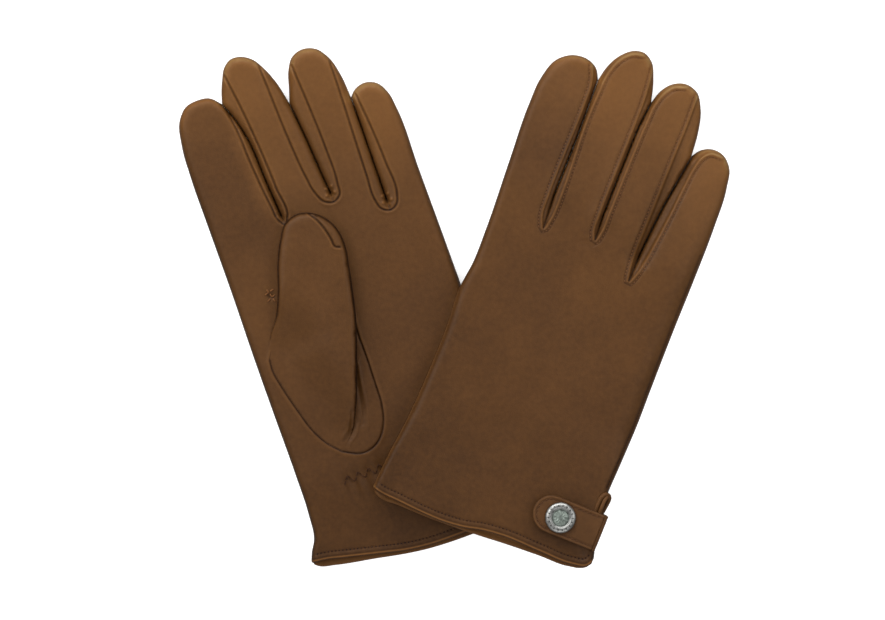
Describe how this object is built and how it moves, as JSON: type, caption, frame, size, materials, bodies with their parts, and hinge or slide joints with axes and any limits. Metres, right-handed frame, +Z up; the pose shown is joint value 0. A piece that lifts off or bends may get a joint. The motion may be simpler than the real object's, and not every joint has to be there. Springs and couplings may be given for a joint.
{
  "type": "leather driving gloves",
  "caption": "Pair of unlined leather driving gloves lying flat, one palm up and one back up on its cuff, with forchettes, bound vented cuffs and snap straps.",
  "frame": {"origin": "centre of the pair's outline on the table, at the height that the gloves lie on", "axes": "+Z up from the table; +Y towards the fingertips, between the two gloves' own directions; +X to the right of someone looking down with the fingertips away from them"},
  "size_m": [0.269, 0.2526, 0.0316],
  "materials": {
    "glove_leather": "soft smooth-grain nappa, low sheen",
    "binding_leather": "folded edge binding, satin",
    "lining_leather": "matt flesh side",
    "elastic": "woven elastic tape",
    "snap_metal": "brushed nickel plate"
  },
  "bodies": {
    "left_hand": {"left_trank": "glove_leather", "left_thumb_gusset": "glove_leather", "left_cuff_binding": "binding_leather", "left_cuff_facing": "lining_leather", "left_vent_binding": "binding_leather", "left_wrist_elastic": "elastic", "left_strap_anchor": "glove_leather", "left_snap_stud": "snap_metal", "left_snap_post": "snap_metal"},
    "left_index": {"left_index_finger": "glove_leather", "left_index_forchette": "glove_leather"},
    "left_middle": {"left_middle_finger": "glove_leather", "left_middle_forchette_inner": "glove_leather", "left_middle_forchette_outer": "glove_leather"},
    "left_ring": {"left_ring_finger": "glove_leather", "left_ring_forchette_inner": "glove_leather", "left_ring_forchette_outer": "glove_leather"},
    "left_little": {"left_little_finger": "glove_leather", "left_little_forchette": "glove_leather"},
    "left_thumb": {"left_thumb": "glove_leather"},
    "left_strap": {"left_strap_top": "glove_leather", "left_strap_backing": "lining_leather", "left_snap_cap": "snap_metal", "left_snap_socket": "snap_metal"},
    "right_hand": {"right_trank": "glove_leather", "right_thumb_gusset": "glove_leather", "right_cuff_binding": "binding_leather", "right_cuff_facing": "lining_leather", "right_vent_binding": "binding_leather", "right_wrist_elastic": "elastic", "right_strap_anchor": "glove_leather", "right_snap_stud": "snap_metal", "right_snap_post": "snap_metal"},
    "right_index": {"right_index_finger": "glove_leather", "right_index_forchette": "glove_leather"},
    "right_middle": {"right_middle_finger": "glove_leather", "right_middle_forchette_inner": "glove_leather", "right_middle_forchette_outer": "glove_leather"},
    "right_ring": {"right_ring_finger": "glove_leather", "right_ring_forchette_inner": "glove_leather", "right_ring_forchette_outer": "glove_leather"},
    "right_little": {"right_little_finger": "glove_leather", "right_little_forchette": "glove_leather"},
    "right_thumb": {"right_thumb": "glove_leather"},
    "right_strap": {"right_strap_top": "glove_leather", "right_strap_backing": "lining_leather", "right_snap_cap": "snap_metal", "right_snap_socket": "snap_metal"}
  },
  "joints": [
    {"name": "right_glove_lift", "type": "slide", "parent": "left_hand", "child": "right_hand", "axis": [0, 0, 1], "range_m": [0, 0.08]},
    {"name": "left_index_curl", "type": "hinge", "parent": "left_hand", "child": "left_index", "pos_m": [-0.10074, 0.03666, 0.012], "axis": [0.9367, 0.3502, 0], "range_deg": [0, 75]},
    {"name": "left_middle_curl", "type": "hinge", "parent": "left_hand", "child": "left_middle", "pos_m": [-0.07159, 0.04863, 0.012], "axis": [0.9367, 0.3502, 0], "range_deg": [0, 75]},
    {"name": "left_ring_curl", "type": "hinge", "parent": "left_hand", "child": "left_ring", "pos_m": [-0.04726, 0.05666, 0.012], "axis": [0.9367, 0.3502, 0], "range_deg": [0, 75]},
    {"name": "left_little_curl", "type": "hinge", "parent": "left_hand", "child": "left_little", "pos_m": [-0.02198, 0.0533, 0.012], "axis": [0.9367, 0.3502, 0], "range_deg": [0, 75]},
    {"name": "left_thumb_swing", "type": "hinge", "parent": "left_hand", "child": "left_thumb", "pos_m": [-0.05892, -0.04592, 0.0135], "axis": [0, 0, 1], "range_deg": [-12, 45]},
    {"name": "left_strap_open", "type": "hinge", "parent": "left_hand", "child": "left_strap", "pos_m": [0.03732, -0.07346, 0.0034], "axis": [0.3502, -0.9367, 0], "range_deg": [0, 150]},
    {"name": "right_index_fold", "type": "hinge", "parent": "right_hand", "child": "right_index", "pos_m": [0.03729, 0.05937, 0.0256], "axis": [0.9272, -0.3746, 0], "range_deg": [0, 60]},
    {"name": "right_middle_fold", "type": "hinge", "parent": "right_hand", "child": "right_middle", "pos_m": [0.06191, 0.0505, 0.0256], "axis": [0.9272, -0.3746, 0], "range_deg": [0, 60]},
    {"name": "right_ring_fold", "type": "hinge", "parent": "right_hand", "child": "right_ring", "pos_m": [0.0848, 0.04017, 0.0256], "axis": [0.9272, -0.3746, 0], "range_deg": [0, 60]},
    {"name": "right_little_fold", "type": "hinge", "parent": "right_hand", "child": "right_little", "pos_m": [0.10479, 0.01916, 0.0256], "axis": [0.9272, -0.3746, 0], "range_deg": [0, 60]},
    {"name": "right_thumb_swing", "type": "hinge", "parent": "right_hand", "child": "right_thumb", "pos_m": [0.02902, -0.00847, 0.0121], "axis": [0, 0, 1], "range_deg": [-20, 8]},
    {"name": "right_strap_open", "type": "hinge", "parent": "right_hand", "child": "right_strap", "pos_m": [0.07101, -0.1101, 0.0286], "axis": [0.3746, 0.9272, 0], "range_deg": [0, 150]}
  ]
}
